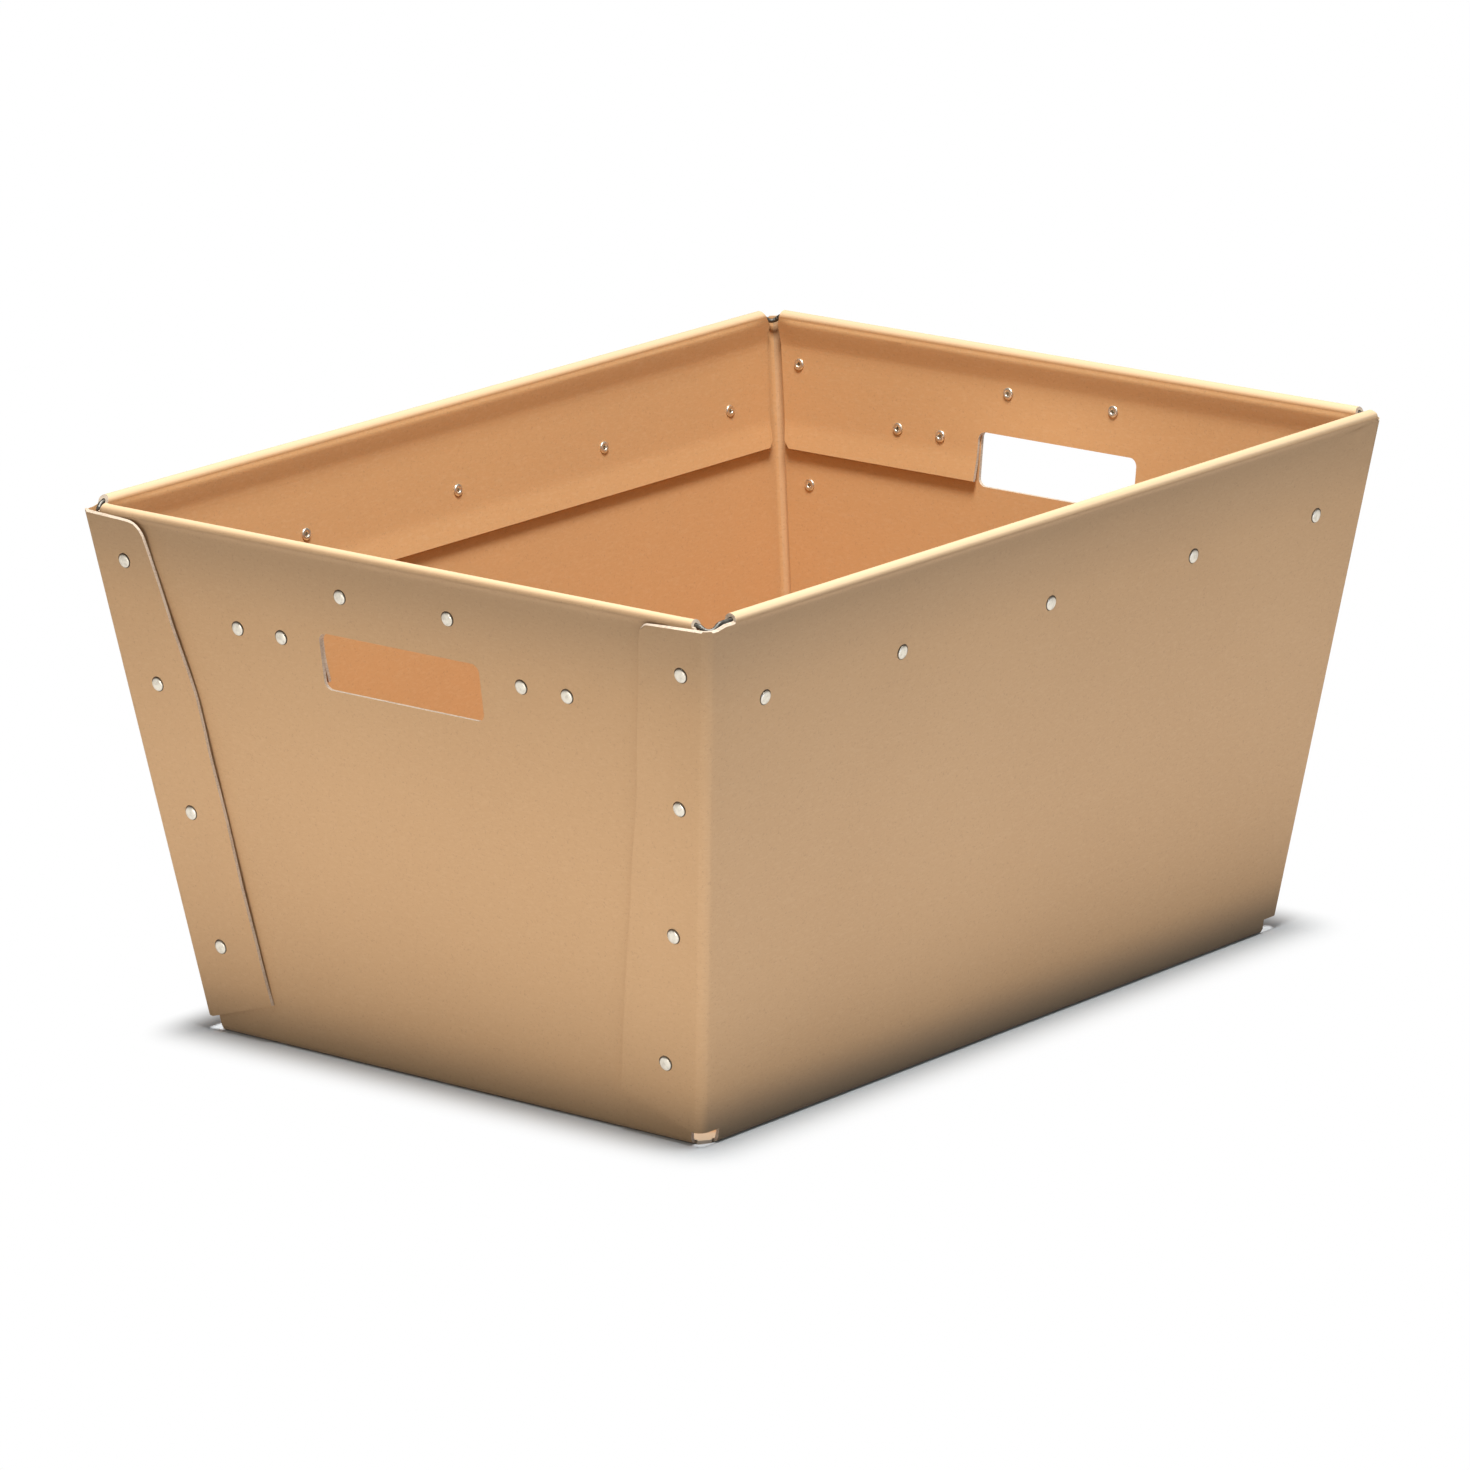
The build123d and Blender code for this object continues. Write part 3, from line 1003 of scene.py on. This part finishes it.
def wireMaker():
    sizes = {
        "halfLength": wireHigh.x - cadWireRadius,
        "halfWidth": wireHigh.y - cadWireRadius,
        "level": wireHigh.z - cadWireRadius,
        "material": wireMetal,
        **wireForm,
    }
    tree = Maker("dippedWire", sizes)
    size = tree.sizes
    long, wide, level = size["halfLength"], size["halfWidth"], size["level"]
    start, dip = size["dipStart"], size["dip"]
    points = []
    for xSide, ySide in ((-1, -1), (1, -1), (1, 1), (-1, 1)):
        dipX = (long - dip * endSlope) * xSide
        dipY = (wide - dip * sideSlope) * ySide
        turn = [
            tree.point((long - start) * xSide, wide * ySide, level),
            tree.point(dipX, dipY, level - dip),
            tree.point(long * xSide, (wide - start) * ySide, level),
        ]
        points += turn if xSide * ySide < 0 else turn[::-1]
    number = tree.node("GeometryNodeInputIndex")
    place = tree.chosen(number, points)
    path = tree.node("GeometryNodeMeshLine", values={"Count": len(points)})
    path = tree.node("GeometryNodeSetPosition", values={0: path, "Position": place})
    path = tree.node("GeometryNodeMeshToCurve", values=[path])
    path = tree.node("GeometryNodeSetSplineCyclic", values={0: path, "Cyclic": True})
    path = tree.node("GeometryNodeFilletCurve", {"mode": "POLY"}, {
        0: path, "Radius": size["bend"], "Limit Radius": True, "Count": size["bendSteps"],
    })
    path = tree.node("GeometryNodeSubdivideCurve", values={0: path, "Cuts": size["pathCuts"]})
    ring = tree.node("GeometryNodeCurvePrimitiveCircle", values={
        "Radius": size["wireRadius"], "Resolution": size["sides"],
    })
    tube = tree.node("GeometryNodeCurveToMesh", values=[path, ring])
    return tree, tree.node("GeometryNodeSetShadeSmooth", values={0: tube})


def makeWire():
    base = bpy.data.meshes.new("wireStart")
    base.from_pydata([(0.0, 0.0, 0.0)], [], [])
    tree, tube = wireMaker()
    piece = tree.applied(tube, "rimWire", base)
    shapeByHand(piece.data)
    mesh = bmesh.new()
    mesh.from_mesh(piece.data)
    printMesh("rimWire", mesh)
    mesh.free()
    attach(piece, "root")
    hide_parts("rim_wire")


makeSheet()
print("sheet made")
for name in rivetNodes:
    makeRivets(name)
print("rivets made")
makeWire()
print("wire made")


# floor and sky: white to the camera except close to the basket, where a grey paper lays a painted
# halo of shade;
# the light that the floor gives back to the board comes from a paper of its own shades, with a
# painted dark shadow close round the basket

stageLook = {
    "floorSize": 30.0,
    "floorWhite": tone(246, 249, 252),
    # the grey paper that the camera sees close to the basket: a painted halo of shade
    "floorSeen": tone(216, 221, 224),
    "floorFar": tone(110, 110, 110),
    # near black close under the basket: a painted shadow in the light given back to the board
    "floorUnder": tone(16, 18, 20),
    "behindFactor": 1.3,
    "underReach": (0.0, 0.11),
    "farReach": (0.45, 1.2),
    "fadeReach": (0.0, 0.046),
    "glossWhite": 0.8,
    "whiteStrength": 1.0,
    "skySoft": 0.24,
}


def floorPaper():
    look = stageLook
    graph = Finish("floorPaper")

    # distance from the basket's footprint, counted longer behind it
    across, along, _ = graph.split(graph.position())
    across = (abs(across) - endFoot).math("MAXIMUM", 0.0)
    behind = (along - sideFoot) * look["behindFactor"]
    along = behind.math("MAXIMUM", -along - sideFoot).math("MAXIMUM", 0.0)
    away = (across * across + along * along).math("SQRT")

    kinds = ("Is Camera Ray", "Is Glossy Ray", "Is Transmission Ray")
    seen, glossy, through = graph.rays(*kinds)
    # painted shadow: the paper turns near black close round the basket, for the light it gives
    # back
    near = away.rising(*look["underReach"])
    near = graph.mixed(near, look["floorUnder"], look["floorWhite"])
    unseen = graph.mixed(away.rising(*look["farReach"]), near, look["floorFar"])
    paper = graph.mixed(seen, unseen, look["floorSeen"])
    matt = graph.node("ShaderNodeBsdfDiffuse", values={"Color": paper})
    bright = {"Color": white, "Strength": look["whiteStrength"]}
    bright = graph.node("ShaderNodeEmission", values=bright)
    gloss = glossy.math("MAXIMUM", through) * look["glossWhite"]
    # close to the basket the camera sees the grey matt paper, further off plain white: a painted
    # halo of shade round the real shadow
    clear = (seen * away.rising(*look["fadeReach"])).math("MAXIMUM", gloss)
    surface = graph.node("ShaderNodeMixShader", values=[clear, matt, bright])
    graph.node("ShaderNodeOutputMaterial", values=[surface])
    return graph.material


def makeFloor():
    mesh = bmesh.new()
    bmesh.ops.create_grid(mesh, x_segments=1, y_segments=1, size=stageLook["floorSize"] / 2)
    data = bpy.data.meshes.new("floor")
    mesh.to_mesh(data)
    mesh.free()
    data.materials.append(floorPaper())
    floor = newPiece("floor", data)


def makeWorld():
    world = bpy.data.worlds.new("studio")
    world.use_nodes = True
    graph = Graph(world.node_tree)
    camera, through = graph.rays("Is Camera Ray", "Is Transmission Ray")
    seen = camera.math("MAXIMUM", through)
    soft = graph.node("ShaderNodeBackground", values=[white, stageLook["skySoft"]])
    bright = graph.node("ShaderNodeBackground", values=[white, stageLook["whiteStrength"]])
    sky = graph.node("ShaderNodeMixShader", values=[seen, soft, bright])
    graph.node("ShaderNodeOutputWorld", values=[sky])
    scene.world = world


# lights: one above, and a low beam on each near wall

lampLook = {
    "keyLamp": {
        "place": (-0.36, -0.45, 2.4),
        "target": (0.0, 0.0, 0.1),
        "size": (0.7, 0.7),
        "power": 76.0,
        "colour": (1.0, 1.0, 1.0),
        "spread": 180.0,
    },
    "sideBeam": {
        "place": (0.0, -2.0, 0.16),
        "target": (0.0, 0.0, 0.16),
        "size": (0.9, 0.12),
        "power": 0.128,
        "colour": (0.78, 0.98, 1.32),
        "spread": 16.0,
    },
    "endBeam": {
        "place": (-2.1, 0.0, 0.16),
        "target": (0.0, 0.0, 0.16),
        "size": (0.7, 0.12),
        "power": 0.19,
        "colour": (1.0, 0.97, 0.93),
        "spread": 16.0,
    },
}


def makeLamp(name):
    look = lampLook[name]
    data = bpy.data.lights.new(name, "AREA")
    data.shape = "RECTANGLE"
    data.size, data.size_y = look["size"]
    data.energy = look["power"]
    data.color = look["colour"]
    data.spread = math.radians(look["spread"])
    lamp = newPiece(name, data)
    lamp.location = look["place"]
    aim = Vector(look["target"]) - Vector(look["place"])
    lamp.rotation_euler = aim.to_track_quat("-Z", "Y").to_euler()
    lamp.visible_camera = False


cameraLook = {
    "place": (-3.7407, -3.1342, 1.4870),
    "yaw": 40.0358,
    "pitch": -15.4047,
    "roll": -0.8978,
    "lens": 221.04,
    "sensor": 36.0,
    "clipEnd": 100.0,
}


def makeCamera():
    yaw, pitch, roll = (math.radians(cameraLook[key]) for key in ("yaw", "pitch", "roll"))
    flat = math.cos(pitch)
    forward = Vector((math.cos(yaw) * flat, math.sin(yaw) * flat, math.sin(pitch)))
    level = Vector((math.sin(yaw), -math.cos(yaw), 0.0))
    upright = level.cross(forward)
    right = level * math.cos(roll) + upright * math.sin(roll)
    upward = upright * math.cos(roll) - level * math.sin(roll)
    data = bpy.data.cameras.new("camera")
    data.sensor_width = cameraLook["sensor"]
    data.lens = cameraLook["lens"]
    data.clip_end = cameraLook["clipEnd"]
    camera = newPiece("camera", data)
    turn = Matrix((right, upward, -forward)).transposed().to_4x4()
    camera.matrix_world = Matrix.Translation(cameraLook["place"]) @ turn
    scene.camera = camera


makeFloor()
makeWorld()
for name in lampLook:
    makeLamp(name)
makeCamera()
scene.view_settings.view_transform = "Standard"
print("stage made")
